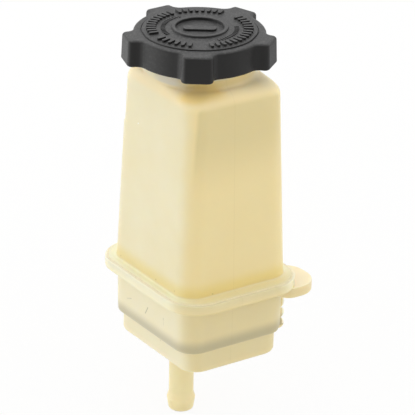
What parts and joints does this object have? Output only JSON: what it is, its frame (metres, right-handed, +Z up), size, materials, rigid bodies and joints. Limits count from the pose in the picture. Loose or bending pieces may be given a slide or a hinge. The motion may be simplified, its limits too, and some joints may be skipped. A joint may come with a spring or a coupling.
{
  "type": "power steering fluid reservoir",
  "caption": "Tall translucent plastic fluid tank on a moulded collar, with a lobed black screw cap, a fixing lug and a barbed hose spigot underneath.",
  "frame": {"origin": "on the tank's vertical axis, in the plane of the collar's underside, where the holder carries it", "axes": "+Z up through the filler neck, +X along the tank's long side towards the lug's side, +Y towards the side that the lug points to"},
  "size_m": [0.0804, 0.0798, 0.1914],
  "materials": {
    "upper_tank": "aged cream, translucent, satin",
    "lower_tank": "aged cream, translucent, satin",
    "cap": "black, fine grain, faded to grey on top",
    "cap_seal": "smooth",
    "strainer_frame": "moulded",
    "strainer_gauze": "fine mesh"
  },
  "bodies": {
    "tank": {"lower_tank": "lower_tank", "upper_tank": "upper_tank", "strainer_frame": "strainer_frame", "strainer_gauze": "strainer_gauze"},
    "seal": {"cap_seal": "cap_seal"},
    "cap": {"cap": "cap"}
  },
  "joints": [
    {"name": "cap_lift", "type": "slide", "parent": "tank", "child": "seal", "axis": [0, 0, 1], "range_m": [0, 0.0101]},
    {"name": "cap_turn", "type": "hinge", "parent": "seal", "child": "cap", "pos_m": [-0.0019, -0.0011, 0.117], "axis": [0, 0, 1], "range_deg": [0, 720]}
  ],
  "couplings": [
    {"joint": "cap_lift", "follows": "cap_turn", "m_per_rad": 0.00079577}
  ]
}
